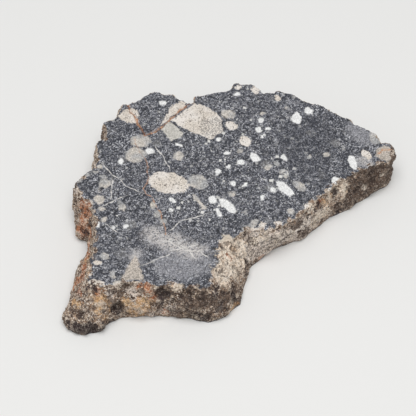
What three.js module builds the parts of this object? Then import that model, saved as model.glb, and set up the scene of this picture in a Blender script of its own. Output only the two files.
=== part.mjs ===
// A slice of lunar meteorite: one flat slab of dark breccia between two sawn faces,
// with the stone's old broken and weathered edge left all the way round.
// Millimetres, +Z up. The slab lies on its lower sawn face, and the origin is on that face,
// under the middle of the slab's box. X runs along its longest way across.

import * as THREE from "three";

// Driving dimensions, in millimetres.
const LENGTH = 45;            // along X, from the spur to the knob
const THICKNESS = 5.2;        // between the sawn faces
const STEP_ALONG = 0.36;      // how closely the edge is faceted, along the outline
const LEVELS = 10;            // how many bands of facets the edge has from foot to rim
const BELLY = 0.12;           // how far the edge swells out at half its height
const BELLY_OF_SLOPE = 0.18;  // the same, for each millimetre that the edge slopes outward
const LUMP_HEIGHT = 0.24;     // broad lumps of the broken surface
const LUMP_SPAN = 1.5;
const CREASE_DEPTH = 0.21;    // creases between them
const CREASE_SPAN = 2;
const GRIT_HEIGHT = 0.15;     // small lumps on the broad ones
const GRIT_SPAN = 0.75;
const STONE_CORE = 0.35;      // share of a stone's radius over which it stands out in full
const SAWN_SHARE = 0.3;       // share of all that relief left along the sawn faces' own outlines
const WAVER = 0.13;           // how far the bands of facets wander up and down
const RIBS_ACROSS = 3;        // ribs on each side over which the way out of the slab is averaged
const GREY = 0x585a62;        // the dark blue-grey of the breccia's matrix
const ROUGHNESS = 0.75;       // dull stone, a little smoother where it was sawn

// The outline as ribs down the broken edge, counter-clockwise seen from above.
// Each rib is [x, y] where the edge meets the upper sawn face, then [x, y] where it meets the lower one.
const SPUR = [                // the low point at the front left, sloping far out beyond the upper face
  [-18.6, -5.6, -22.5, -6.2], [-18.6, -5.8, -22.4, -6.8], [-18.3, -6.3, -21.2, -8.6],
  [-17.5, -7.2, -19.4, -9.2], [-17.0, -7.5, -18.7, -8.9],
];
const FRONT = [               // the long front edge, from the spur to the nose
  [-15.7, -8.0, -16.6, -8.9], [-13.8, -9.1, -14.4, -10.0], [-11.2, -11.3, -11.7, -11.9],
  [-9.6, -12.9, -10.0, -13.5], [-7.9, -13.7, -8.5, -15.0],
];
const NOSE = [                // the front corner and the slope behind it
  [-7.4, -13.8, -7.4, -15.4], [-6.0, -12.3, -4.1, -15.0], [-4.9, -12.0, -2.9, -13.6],
  [-3.7, -9.7, -1.6, -12.6], [-3.1, -9.4, -1.3, -12.3], [-1.6, -9.9, -0.8, -11.8],
  [0.1, -9.7, -0.1, -11.4],
];
const UNDERCUT = [            // the right-hand front edge, hollow underneath at first
  [0.7, -10.2, 0.7, -11.2], [1.5, -10.4, 1.4, -11.1], [2.0, -11.0, 2.1, -11.0],
  [3.0, -11.4, 3.1, -10.8], [5.7, -11.6, 5.7, -11.1], [7.3, -11.1, 7.5, -11.5],
  [12.1, -10.2, 12.2, -10.6], [14.6, -9.9, 14.7, -11.0], [18.1, -10.1, 18.2, -10.7],
];
const KNOB = [                // the rounded right-hand end
  [19.9, -10.8, 20.4, -10.7], [20.7, -10.6, 21.0, -10.6], [21.8, -9.7, 22.1, -9.5],
  [22.1, -9.1, 22.4, -8.9], [22.0, -8.5, 22.5, -8.6],
];
const BACK = [                // the long back edge, with its steps and bites
  [21.4, -7.8, 21.7, -7.8], [21.7, -6.7, 22.3, -6.5], [21.7, -6.1, 22.2, -5.9],
  [20.7, -4.4, 21.6, -4.1], [20.3, -3.6, 21.0, -3.3], [20.4, -2.8, 20.9, -2.5],
  [18.8, 1.0, 18.9, 1.1], [18.1, 1.8, 18.4, 2.0], [16.7, 4.7, 17.3, 5.2],
  [16.0, 6.1, 16.4, 6.3], [15.5, 6.2, 15.7, 6.3], [15.2, 5.8, 15.4, 6.0],
  [14.0, 6.7, 14.5, 7.0], [13.9, 8.5, 14.5, 9.0], [13.5, 9.0, 14.1, 9.6],
  [11.8, 10.0, 12.1, 10.9], [10.8, 9.6, 11.0, 10.3], [9.7, 9.8, 9.8, 10.3],
  [8.0, 10.4, 8.1, 10.7], [6.5, 11.1, 6.5, 11.3],
];
const NOTCH = [               // the bite where a rusty crack comes out of the back edge
  [5.8, 10.4, 5.9, 10.6], [5.1, 10.5, 5.2, 10.6], [4.4, 12.0, 4.6, 12.2],
  [4.7, 12.6, 4.9, 12.8], [4.5, 13.0, 4.8, 13.1],
];
const CROWN = [               // the farthest point at the back
  [3.5, 13.5, 3.7, 13.8], [2.6, 14.7, 2.7, 15.1], [1.2, 14.5, 1.2, 15.1],
  [0.6, 14.1, 0.5, 14.7], [-0.5, 14.4, -0.6, 15.1], [-1.0, 14.3, -1.1, 14.9],
  [-1.8, 14.8, -1.9, 15.4], [-3.6, 13.3, -3.8, 13.8], [-5.2, 13.4, -5.5, 13.9],
];
const LEFT = [                // the left edge, with the rusty facet and the ledge at its foot
  [-5.5, 12.3, -6.0, 13.0], [-6.4, 11.4, -6.9, 12.0], [-7.3, 11.3, -7.7, 11.6],
  [-8.8, 9.6, -9.1, 10.0], [-9.1, 8.8, -9.7, 9.4], [-9.7, 8.1, -10.2, 8.8],
  [-12.8, 7.3, -13.3, 7.6], [-13.2, 6.3, -13.7, 6.7], [-13.2, 2.8, -15.0, 3.9],
  [-13.4, 2.3, -15.0, 3.3], [-13.6, 1.8, -14.6, 2.9], [-13.7, 1.4, -14.4, 2.2],
  [-14.2, 0.0, -15.2, 0.7], [-16.6, -3.0, -18.6, -1.9], [-17.3, -3.6, -19.1, -2.9],
  [-17.9, -4.2, -19.8, -3.5], [-18.6, -5.4, -22.0, -5.5],
];
const OUTLINE = [...SPUR, ...FRONT, ...NOSE, ...UNDERCUT, ...KNOB, ...BACK, ...NOTCH, ...CROWN, ...LEFT];

// Stones that stand out of the broken edge, and hollows where stones have dropped out:
// the middle, the radius, and how far the surface is pushed out, or in if less than nothing.
const EDGE_STONES = [
  { at: [-18.8, -6.3, 4.5], radius: 0.9, push: 0.25 },     // dark stone at the head of the spur
  { at: [-18.6, -7.5, 3.6], radius: 1.0, push: 0.25 },     // tan stone below it
  { at: [-20.9, -7.3, 1.3], radius: 1.8, push: 0.3 },      // the spur's rough end
  { at: [-18.9, -8.8, 1.0], radius: 1.1, push: 0.25 },
  { at: [-16.9, -8.6, 2.2], radius: 1.1, push: -0.45 },    // crevice behind the spur
  { at: [-14.6, -9.5, 2.2], radius: 1.9, push: 0.4 },      // tan-yellow boss on the front edge
  { at: [-15.2, -8.4, 4.6], radius: 0.9, push: -0.35 },    // hollow above it
  { at: [-13.3, -9.8, 4.2], radius: 0.9, push: 0.25 },     // rusty stone
  { at: [-12.1, -10.9, 4.0], radius: 1.1, push: -0.45 },   // hollow under the rim
  { at: [-10.0, -12.9, 2.3], radius: 1.6, push: 0.2 },
  { at: [-7.9, -14.2, 3.3], radius: 1.0, push: -0.3 },     // hollow on the nose
  { at: [-5.4, -13.0, 3.9], radius: 1.1, push: 0.35 },     // cream stone on the nose
  { at: [-2.5, -11.1, 2.6], radius: 1.6, push: 0.25 },     // cream slope behind the nose
  { at: [-1.0, -11.2, 2.6], radius: 0.7, push: -0.3 },     // step beside the slope
  { at: [3.4, -11.3, 3.4], radius: 2.2, push: 0.15 },      // pale smooth stone
  { at: [10.1, -10.5, 4.4], radius: 0.9, push: -0.4 },     // dark hollow in the right-hand front edge
  { at: [13.3, -10.3, 3.6], radius: 0.8, push: 0.3 },      // beige stone
  { at: [15.2, -10.3, 1.6], radius: 1.4, push: 0.25 },
  { at: [18.0, -10.4, 3.2], radius: 1.5, push: -0.2 },     // hollow below the knob
  { at: [22.1, -8.4, 3.4], radius: 1.3, push: 0.25 },
  { at: [20.6, -3.4, 2.6], radius: 1.4, push: -0.3 },
  { at: [17.7, 3.2, 2.2], radius: 1.9, push: 0.3 },
  { at: [14.3, 7.9, 3.2], radius: 1.2, push: -0.3 },
  { at: [12.2, 10.2, 2.0], radius: 1.4, push: 0.3 },
  { at: [7.9, 10.6, 2.8], radius: 1.3, push: -0.25 },
  { at: [2.0, 14.8, 2.4], radius: 1.5, push: 0.3 },
  { at: [-3.4, 13.6, 3.2], radius: 1.2, push: -0.3 },
  { at: [-7.3, 11.5, 2.0], radius: 1.4, push: 0.3 },
  { at: [-11.0, 8.0, 2.8], radius: 1.3, push: -0.3 },
  { at: [-13.7, 6.3, 2.6], radius: 1.4, push: 0.2 },       // grey facet on the left edge
  { at: [-14.5, 3.4, 0.9], radius: 1.3, push: 0.3 },       // lip of the ledge
  { at: [-15.9, -1.2, 3.0], radius: 1.5, push: -0.3 },
];

// Large odd numbers that scatter a grid's corners, and the range of the value that is left.
const SCATTER = { i: 374761393, j: 668265263, k: 1274126177, again: 1103515245 };
const HALF_RANGE = 0x8000;

// A fixed number between -1 and 1 for each corner of a grid.
function cornerValue(i, j, k) {
  let bits = Math.imul(i, SCATTER.i) ^ Math.imul(j, SCATTER.j) ^ Math.imul(k, SCATTER.k);
  bits = Math.imul(bits ^ (bits >>> 13), SCATTER.again);
  return ((bits ^ (bits >>> 16)) & (2 * HALF_RANGE - 1)) / HALF_RANGE - 1;
}

// Those numbers run smoothly into each other over a grid of the given spacing.
function smoothNoise(point, spacing) {
  const scaled = point.toArray().map((value) => value / spacing);
  const corner = scaled.map(Math.floor);
  const [u, v, w] = scaled.map((value, axis) => THREE.MathUtils.smoothstep(value - corner[axis], 0, 1));
  const [i, j, k] = corner;
  const row = (dj, dk) => THREE.MathUtils.lerp(
    cornerValue(i, j + dj, k + dk), cornerValue(i + 1, j + dj, k + dk), u);
  const near = THREE.MathUtils.lerp(row(0, 0), row(1, 0), v);
  const far = THREE.MathUtils.lerp(row(0, 1), row(1, 1), v);
  return THREE.MathUtils.lerp(near, far, w);
}

// Broken stone: broad lumps, with creases between them and smaller, lower lumps on them.
function brokenRelief(point) {
  const lumps = LUMP_HEIGHT * smoothNoise(point, LUMP_SPAN);
  const creases = CREASE_DEPTH * (0.5 - Math.abs(smoothNoise(point, CREASE_SPAN)));
  const grit = GRIT_HEIGHT * smoothNoise(point, GRIT_SPAN);
  return lumps + creases + grit;
}

// What the single stones and hollows of the edge add at a point: most at the middle, nothing at the radius.
function stonePush(point) {
  let push = 0;
  for (const stone of EDGE_STONES) {
    const reach = point.distanceTo(new THREE.Vector3(...stone.at)) / stone.radius;
    push += stone.push * (1 - THREE.MathUtils.smoothstep(reach, STONE_CORE, 1));
  }
  return push;
}

// The ribs, with more put between them so that the edge is faceted evenly.
function closeRibs() {
  const ribs = [];
  OUTLINE.forEach((rib, index) => {
    const next = OUTLINE[(index + 1) % OUTLINE.length];
    const rimGap = Math.hypot(next[0] - rib[0], next[1] - rib[1]);
    const footGap = Math.hypot(next[2] - rib[2], next[3] - rib[3]);
    const count = Math.max(1, Math.round((rimGap + footGap) / 2 / STEP_ALONG));
    for (let part = 0; part < count; part += 1) {
      const between = (axis) => THREE.MathUtils.lerp(rib[axis], next[axis], part / count);
      ribs.push({
        rim: new THREE.Vector2(between(0), between(1)),
        foot: new THREE.Vector2(between(2), between(3)),
      });
    }
  });
  return ribs;
}

// The way out of the slab at a rib, square to the outline and averaged over a few ribs on each side.
function wayOut(ribs, index) {
  const before = ribs.at(index - RIBS_ACROSS);
  const after = ribs[(index + RIBS_ACROSS) % ribs.length];
  const along = new THREE.Vector2()
    .add(after.rim).add(after.foot)
    .sub(before.rim).sub(before.foot)
    .normalize();
  return new THREE.Vector3(along.y, -along.x, 0);
}

// One point of the edge: level 0 is the foot and LEVELS is the rim.
function edgePoint(rib, out, level) {
  const height = level / LEVELS;
  const swell = Math.sin(Math.PI * height);
  const slope = rib.rim.distanceTo(rib.foot);
  const flat = rib.foot.clone().lerp(rib.rim, height);
  const point = new THREE.Vector3(flat.x, flat.y, THICKNESS * height);
  const onSawnFace = level === 0 || level === LEVELS;
  const share = onSawnFace ? SAWN_SHARE : 1;
  const push = (BELLY + BELLY_OF_SLOPE * slope) * swell + share * (brokenRelief(point) + stonePush(point));
  const lift = onSawnFace ? 0 : WAVER * smoothNoise(point, LUMP_SPAN);
  return point.addScaledVector(out, push).setZ(point.z + lift);
}

// Rings of points from foot to rim, joined by bands of triangles and closed by the two sawn faces.
function sliceGeometry() {
  const ribs = closeRibs();
  const count = ribs.length;
  const corners = [];
  const faces = [];
  for (let level = 0; level <= LEVELS; level += 1) {
    ribs.forEach((rib, index) => corners.push(edgePoint(rib, wayOut(ribs, index), level)));
  }
  for (let level = 0; level < LEVELS; level += 1) {
    for (let index = 0; index < count; index += 1) {
      const low = level * count;
      const a = low + index;
      const b = low + (index + 1) % count;
      faces.push(a, b, b + count, a, b + count, a + count);
    }
  }
  const rimStart = LEVELS * count;
  const fromAbove = corners.map((corner) => new THREE.Vector2(corner.x, corner.y));
  const ring = (start) => fromAbove.slice(start, start + count);
  for (const [a, b, c] of THREE.ShapeUtils.triangulateShape(ring(rimStart), [])) {
    faces.push(rimStart + a, rimStart + b, rimStart + c);
  }
  for (const [a, b, c] of THREE.ShapeUtils.triangulateShape(ring(0), [])) {
    faces.push(a, c, b);
  }
  const geometry = new THREE.BufferGeometry().setFromPoints(corners);
  geometry.setIndex(faces);
  return geometry;
}

// Brings the slice to its length, and its box to the middle over the origin.
function settle(geometry) {
  geometry.computeBoundingBox();
  const middle = geometry.boundingBox.getCenter(new THREE.Vector3());
  const size = geometry.boundingBox.getSize(new THREE.Vector3());
  geometry.translate(-middle.x, -middle.y, 0);
  geometry.scale(LENGTH / size.x, LENGTH / size.x, 1);
  geometry.computeVertexNormals();
  return geometry;
}

function meteoriteSlice() {
  const breccia = new THREE.MeshStandardMaterial({
    color: GREY,
    roughness: ROUGHNESS,
    metalness: 0,
    flatShading: true,
  });
  const slice = new THREE.Mesh(settle(sliceGeometry()), breccia);
  slice.name = "meteorite_slice";
  return slice;
}

const meteorite = new THREE.Group();
meteorite.add(meteoriteSlice());

export default meteorite;
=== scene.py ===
# %% [markdown]
# # A slice of lunar meteorite
#
# The real thing is one slab of dark breccia, about 45 mm long, sawn flat above and below.
# Its edge is the stone's own broken and weathered outside. It is one piece, so the lesson makes
# one mesh and one material. The mesh has to carry the rough edge, and the material has to carry
# hundreds of stones of all sizes in the sawn faces.

import math

import bpy
import numpy as np
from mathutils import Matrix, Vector
from mathutils.noise import noise_vector


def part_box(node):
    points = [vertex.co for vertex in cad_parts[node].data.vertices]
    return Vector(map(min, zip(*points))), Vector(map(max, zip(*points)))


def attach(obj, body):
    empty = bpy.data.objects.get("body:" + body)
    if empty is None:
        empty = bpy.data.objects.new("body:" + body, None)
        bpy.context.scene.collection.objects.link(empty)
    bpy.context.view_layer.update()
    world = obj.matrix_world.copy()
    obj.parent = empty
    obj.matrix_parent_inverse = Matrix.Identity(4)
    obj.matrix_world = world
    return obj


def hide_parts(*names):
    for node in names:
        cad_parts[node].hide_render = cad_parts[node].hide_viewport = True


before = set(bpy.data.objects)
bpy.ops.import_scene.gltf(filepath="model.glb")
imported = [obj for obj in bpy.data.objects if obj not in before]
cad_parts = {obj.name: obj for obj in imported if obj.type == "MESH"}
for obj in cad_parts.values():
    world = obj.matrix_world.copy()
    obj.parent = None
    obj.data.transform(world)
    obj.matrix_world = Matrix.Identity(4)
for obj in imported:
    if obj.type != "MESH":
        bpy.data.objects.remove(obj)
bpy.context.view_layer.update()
low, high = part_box("meteorite_slice")
MM = 0.001
THICKNESS = high[2] / MM
print("slab", [round((b - a) / MM, 2) for a, b in zip(low, high)], "mm")

# %% [markdown]
# ## The camera and the light
#
# The photograph looks down on the slab from the front left, from far enough away that the
# perspective is slight. The camera is aimed at a point on the upper sawn face and stands off in the
# direction that two angles give. The light is that of a small photo tent: pale from all sides, with
# one large lamp overhead, a little towards the camera, so the shadows are short, soft and faint. Sky
# and lamp together light a level surface with a strength of about one, so a colour shows on it as it
# was mixed. The floor is only a little darker than white.

# %% Camera
AIM = Vector((-1.942, -4.544, 5.2)) * MM
AZIMUTH = math.radians(-33.5)
ELEVATION = math.radians(53)
DISTANCE = 136.4 * MM
LENS = 102.08
NEAREST_SEEN = 5 * MM


def towards_camera(azimuth, elevation):
    """The unit direction from the slab to a camera at these angles."""
    return Vector((
        math.sin(azimuth) * math.cos(elevation),
        -math.cos(azimuth) * math.cos(elevation),
        math.sin(elevation),
    ))


bpy.ops.object.select_all(action="DESELECT")
bpy.ops.object.camera_add(location=AIM + DISTANCE * towards_camera(AZIMUTH, ELEVATION))
camera = bpy.context.object
camera.name = "camera"
camera.data.lens = LENS
camera.data.clip_start = NEAREST_SEEN
camera.rotation_euler = towards_camera(AZIMUTH, ELEVATION).to_track_quat("Z", "Y").to_euler()
bpy.context.scene.camera = camera
print("camera at", [round(value / MM, 1) for value in camera.location], "mm")

# %% Floor and lamps
FLOOR_SIZE = 1.2
FLOOR_GAP = 0.01 * MM
PAPER = (0.83, 0.83, 0.82, 1)
PAPER_ROUGHNESS = 0.9
PAPER_GLOSS = 0.1
SKY_COLOUR = (1.0, 0.995, 0.985, 1)
SKY_STRENGTH = 0.40
KEY_POWER = 0.80
KEY_PLACE = Vector((-0.035, -0.048, 0.325))
KEY_SIZE = 0.26


def add_floor():
    """A plain pale floor just under the slab."""
    bpy.ops.object.select_all(action="DESELECT")
    bpy.ops.mesh.primitive_plane_add(size=FLOOR_SIZE, location=(0, 0, -FLOOR_GAP))
    floor = bpy.context.object
    floor.name = "floor"
    material = bpy.data.materials.new("white_paper")
    material.use_nodes = True
    shader = material.node_tree.nodes["Principled BSDF"]
    shader.inputs["Base Color"].default_value = PAPER
    shader.inputs["Roughness"].default_value = PAPER_ROUGHNESS
    shader.inputs["Specular IOR Level"].default_value = PAPER_GLOSS
    floor.data.materials.append(material)


def add_key_lamp():
    """One large square lamp, aimed at the slab."""
    bpy.ops.object.light_add(type="AREA", location=KEY_PLACE)
    lamp = bpy.context.object
    lamp.name = "key_lamp"
    lamp.data.size = KEY_SIZE
    lamp.data.energy = KEY_POWER
    lamp.rotation_euler = KEY_PLACE.to_track_quat("Z", "Y").to_euler()


def light_sky():
    """The pale walls of the tent, as an even sky."""
    world = bpy.data.worlds.new("tent")
    bpy.context.scene.world = world
    world.use_nodes = True
    sky = world.node_tree.nodes["Background"]
    sky.inputs["Color"].default_value = SKY_COLOUR
    sky.inputs["Strength"].default_value = SKY_STRENGTH


add_floor()
add_key_lamp()
light_sky()
bpy.context.scene.view_settings.view_transform = "Standard"
print("floor, key lamp and sky are in place")

# %% [markdown]
# ## A fine mesh to carve
#
# The frame's solid has the right outline and the main lumps, with facets of about a third of a
# millimetre. Broken stone needs finer grain than that. The solid is copied, its loose triangles are
# merged, and the Remesh modifier rebuilds it from small cubes of space, which gives an even mesh that
# can be carved anywhere. Rebuilding softens the flat faces a little, so they are set flat again.

# %% Copy, merge and rebuild
VOXEL = 0.122 * MM
MERGE = 0.002 * MM
FLAT_REACH = 0.09  # how far rebuilding moves the sawn faces at most, in millimetres


def active(piece):
    """Makes one piece the only selected one, for the operators that follow."""
    bpy.ops.object.select_all(action="DESELECT")
    piece.select_set(True)
    bpy.context.view_layer.objects.active = piece


def apply_modifier(piece, kind, name, settings):
    """Adds a modifier with its settings and applies it at once."""
    modifier = piece.modifiers.new(name, kind)
    for key, value in settings.items():
        setattr(modifier, key, value)
    active(piece)
    bpy.ops.object.modifier_apply(modifier=modifier.name)


def copy_of_node(name, new_name):
    """A merged copy of a node of the frame."""
    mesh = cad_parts[name].data.copy()
    mesh.name = new_name
    mesh.materials.clear()
    piece = bpy.data.objects.new(new_name, mesh)
    bpy.context.collection.objects.link(piece)
    active(piece)
    bpy.ops.object.mode_set(mode="EDIT")
    bpy.ops.mesh.select_all(action="SELECT")
    bpy.ops.mesh.remove_doubles(threshold=MERGE)
    bpy.ops.object.mode_set(mode="OBJECT")
    return piece


def rows_of(mesh, what):
    """A row of three numbers for each vertex: its place as "co", or its "normal"."""
    flat = np.empty(len(mesh.vertices) * 3)
    mesh.vertices.foreach_get(what, flat)
    return flat.reshape(-1, 3)


def points_of(mesh):
    """All vertex positions, in millimetres."""
    return rows_of(mesh, "co") / MM


def set_points(mesh, points):
    """Moves all vertices to these places, in millimetres."""
    mesh.vertices.foreach_set("co", (points * MM).ravel())
    mesh.update()


def saw_flat(piece, reach):
    """Cuts off what stands past the sawn planes, and levels what lies a hair below them."""
    points = points_of(piece.data)
    points[points[:, 2] > THICKNESS - reach, 2] = THICKNESS
    points[points[:, 2] < reach, 2] = 0
    set_points(piece.data, points)


meteorite = copy_of_node("meteorite_slice", "meteorite")
apply_modifier(meteorite, "REMESH", "rebuild", {"mode": "VOXEL", "voxel_size": VOXEL})
saw_flat(meteorite, FLAT_REACH)
print("rebuilt mesh:", len(meteorite.data.vertices), "points")

# %% [markdown]
# ## Broken stone on the edge
#
# A stone that has broken and lain in the desert has relief at several sizes at once: lumps of a
# millimetre, chipped facets of half that, and grains. Each size is one procedural texture that moves
# the surface along its normals. How much a point may move is a vertex group: all of it on the edge,
# nothing on the flat faces, and a blurred border between them. What is pushed past a sawn plane is
# then cut off level again, as the saw did. On the side that is most weathered, bits are broken off
# the upper rim as well, and the thin splinters that noise leaves at the foot are rubbed off.

# %% How much each point may move
RIM_ROUNDS = 9
RIM_START = 0.06
RIM_FULL = 0.55
LEAST_BROKEN = 0.9  # what a point of the edge counts at least, however near to a flat face
WEIGHT_STEPS = 20
BODY_GROUP = "edge"


def smoothstep(value, start, end):
    """0 before start, 1 after end, and a smooth rise between them."""
    share = np.clip((value - start) / (end - start), 0, 1)
    return share * share * (3 - 2 * share)


def from_sawn_faces(points):
    """How far each point lies from the nearer sawn face, in millimetres."""
    return np.minimum(points[:, 2], THICKNESS - points[:, 2])


def smoothed(mesh, values, rounds):
    """The rows of numbers, one per point, each set to the mean of its neighbours, several times."""
    flat = np.empty(len(mesh.edges) * 2, dtype=np.int64)
    mesh.edges.foreach_get("vertices", flat)
    start, end = flat[0::2], flat[1::2]
    count = len(values)
    neighbours = np.bincount(start, minlength=count) + np.bincount(end, minlength=count)
    for _ in range(rounds):
        total = np.empty_like(values)
        for column in range(values.shape[1]):
            total[:, column] = np.bincount(start, values[end, column], count)
            total[:, column] += np.bincount(end, values[start, column], count)
        values = total / neighbours[:, None]
    return values


def group_by_share(piece, name, shares):
    """A vertex group whose weights are these shares, in even steps."""
    group = piece.vertex_groups.new(name=name)
    steps = np.round(shares * WEIGHT_STEPS).astype(int)
    for step in range(1, WEIGHT_STEPS + 1):
        members = np.flatnonzero(steps == step)
        group.add(members.tolist(), step / WEIGHT_STEPS, "REPLACE")


broken_share = (from_sawn_faces(points_of(meteorite.data)) > 0).astype(float)
blurred = smoothed(meteorite.data, broken_share[:, None], RIM_ROUNDS)[:, 0]
edge_share = smoothstep(np.maximum(blurred, LEAST_BROKEN * broken_share), RIM_START, RIM_FULL)
group_by_share(meteorite, BODY_GROUP, edge_share)
print("points on the broken edge:", int((edge_share > 0).sum()))

# %% Relief by size
# name, texture type, size and height in millimetres, and the texture's own settings
RELIEF = [
    ("lumps", "CLOUDS", 1.3, 0.42, {"noise_depth": 1, "noise_basis": "BLENDER_ORIGINAL"}),
    ("facets", "VORONOI", 0.62, 0.36, {"color_mode": "POSITION", "weight_1": 1.0}),
    ("creases", "VORONOI", 0.42, 0.13, {"weight_1": -1.0, "weight_2": 1.0}),
    ("ridges", "CLOUDS", 0.40, 0.17, {"noise_depth": 2, "noise_type": "HARD_NOISE"}),
    ("grains", "CLOUDS", 0.16, 0.10, {"noise_depth": 0}),
]
SAW_REACH = 0.045
SAWN_ROUNDS = 3
CHIP_ROUNDS = 10
CHIP_SIZE = 0.55  # how wide a chip of the rim is, in millimetres
CHIP_DEPTH = 0.50
CHIP_MISSES = 0.05  # noise weaker than this breaks nothing off
CHIPS_FROM = 0.04  # how far the edge has blurred into the face where chips start,
CHIPS_FULL = 0.40  # and where they are deepest
WEATHERED_SIDE = (-0.55, -0.83, 0)
SOUND_UP_TO = -6.0  # the far rim is sound up to here, measured towards the weathered side,
CRUMBLY_FROM = 0.0  # and the near rim is crumbly from here on, in millimetres
FOOT_HEIGHT = 0.55  # the lowest part of the edge, where thin splinters are rubbed off
FOOT_ROUNDS = 8


def roughen(piece, name, kind, size, height, settings):
    """Moves the edge in and out by one procedural texture."""
    texture = bpy.data.textures.new(name, kind)
    texture.noise_scale = size * MM
    for key, value in settings.items():
        setattr(texture, key, value)
    apply_modifier(piece, "DISPLACE", name, {
        "texture": texture,
        "texture_coords": "LOCAL",
        "vertex_group": BODY_GROUP,
        "strength": height * MM,
        "mid_level": 0.5,
    })


def store(piece, name, values):
    """Keeps one number for each point of the mesh, under a name that a material can read."""
    attribute = piece.data.attributes.new(name, "FLOAT", "POINT")
    attribute.data.foreach_set("value", values.astype(np.float32))


def chip_rim(piece):
    """Breaks bits off the upper sawn face, but only close to its rim."""
    points = points_of(piece.data)
    on_face = (points[:, 2] == THICKNESS).astype(float)
    edge_nearby = 1 - smoothed(piece.data, on_face[:, None], CHIP_ROUNDS)[:, 0]
    near_rim = smoothstep(edge_nearby, CHIPS_FROM, CHIPS_FULL) * on_face
    near_rim *= smoothstep(points @ WEATHERED_SIDE, SOUND_UP_TO, CRUMBLY_FROM)
    for index in np.flatnonzero(near_rim):
        chance = noise_vector(Vector(points[index]) / CHIP_SIZE)
        points[index, 2] -= CHIP_DEPTH * near_rim[index] * max(0, chance.x - CHIP_MISSES)
    set_points(piece.data, points)


def settle_foot(piece):
    """Rubs the splinters off the lowest part of the edge."""
    points = points_of(piece.data)
    share = 1 - smoothstep(points[:, 2], 0.5 * FOOT_HEIGHT, FOOT_HEIGHT)
    rubbed = smoothed(piece.data, points, FOOT_ROUNDS)
    points[:, :2] += (rubbed - points)[:, :2] * share[:, None]
    set_points(piece.data, points)


for name, kind, size, height, settings in RELIEF:
    roughen(meteorite, name, kind, size, height, settings)
    print(name, "carved, up to", height, "mm")
saw_flat(meteorite, SAW_REACH)
chip_rim(meteorite)
settle_foot(meteorite)
still_sawn = (from_sawn_faces(points_of(meteorite.data)) == 0).astype(float)
store(meteorite, "sawn", smoothed(meteorite.data, still_sawn[:, None], SAWN_ROUNDS)[:, 0])
print("points on the sawn faces:", int(still_sawn.sum()))

# %% [markdown]
# ## Stones, hollows and cracks that the photograph shows
#
# Noise gives the right roughness but not the right places. The stones that stand out of the edge, the
# holes that others left, and the rusty cracks that were open enough to catch the saw are put in one
# by one. Each is a short list entry, and one function pushes the points round it out or in.

# %% Stones and holes in the edge
EDGE_START = 0.02
EDGE_FULL = 0.32
MARK_CROWN = 0.2  # the share of its radius over which a mark moves as one
# x, y, z of the middle, radius, and how far out, all in millimetres
EDGE_MARKS = [
    (-18.8, -6.4, 4.4, 0.8, 0.22), (-18.3, -7.8, 3.5, 0.9, 0.18), (-16.8, -8.6, 2, 0.9, -0.26),
    (-16.2, -8.4, 3.6, 0.5, -0.25), (-19.9, -8.9, 0.6, 0.7, -0.25), (-14.6, -9.6, 2, 1.5, 0.30),
    (-13.3, -9.8, 4.3, 0.7, 0.15), (-12, -11, 3.8, 0.9, -0.20), (-15.3, -8.3, 4.5, 0.6, -0.28),
    (-11, -11.7, 4.7, 0.45, 0.15), (-8.8, -13.7, 3.6, 0.7, -0.25), (-5.4, -12.9, 4.15, 0.28, -0.35),
    (-5.3, -14, 2.3, 0.6, -0.25), (-1.3, -11.3, 1.9, 0.5, -0.30), (8.8, -10.9, 4.1, 0.50, -0.60),
    (7.7, -11.2, 3.9, 0.42, -0.50), (10, -10.6, 4.4, 0.45, -0.40), (11.9, -10.3, 4.5, 0.50, -0.35),
    (13.3, -10.4, 3.5, 0.55, 0.22), (12.6, -10.7, 0.6, 0.7, -0.25), (15.5, -10.6, 2.6, 0.8, -0.25),
    (17.9, -10.5, 2.7, 0.8, -0.25), (21.9, -9.4, 3.8, 0.6, -0.20), (-13.9, 2.1, 3.2, 0.55, -0.40),
    (-14.5, 2.7, 1, 0.5, -0.35), (-18.4, -2.5, 1.2, 0.6, -0.25),
]


def push_marks(piece, marks):
    """Pushes the points round each mark along their normals, most at its middle."""
    points = points_of(piece.data)
    normals = rows_of(piece.data, "normal")
    share = smoothstep(from_sawn_faces(points), EDGE_START, EDGE_FULL)
    for x, y, z, radius, out in marks:
        reach = np.linalg.norm(points - (x, y, z), axis=1) / radius
        amount = out * (1 - smoothstep(reach, MARK_CROWN, 1)) * share
        points += normals * amount[:, None]
    set_points(piece.data, points)


push_marks(meteorite, EDGE_MARKS)
print(len(EDGE_MARKS), "marks pushed")

# %% Rusty cracks and small holes in the upper sawn face
# x, y of each corner of the crack, in millimetres
BACK_CRACK = [(-1.4, 14.3), (-1.7, 13.5), (-1.8, 11.9), (-2, 10.6), (-2.2, 8.9)]
NOTCH_CRACK = [(6.3, 11.2), (5.6, 10.1), (4.9, 10.1), (3.7, 10), (1.8, 9.4), (0.1, 8.8), (-2.2, 8.8)]
LONG_CRACK = [
    (-3.6, 9.1), (-3.9, 8), (-4.3, 4.9), (-5.3, 3), (-6.8, 1.8), (-6.5, 0.6), (-6.9, -1.8), (-7.3, -3.4),
    (-8, -5),
]
KNOB_CRACK = [(19.8, -9), (20.5, -8.9), (21.5, -9.4)]
GROOVE_WIDTH = 0.13
GROOVE_BED = 0.2  # the share of a groove's half width that is level
HOLE_BED = 0.3  # the share of a hole's radius that is level
CRACK_DEPTH = 2.5
WAVERS = ((1.1, 0.26), (0.35, 0.12))  # how a crack wavers: size and amount, in millimetres
# the crack, and how deep it is open
GROOVES = [(BACK_CRACK, 0.16), (NOTCH_CRACK, 0.12), (LONG_CRACK, 0.05)]
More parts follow.
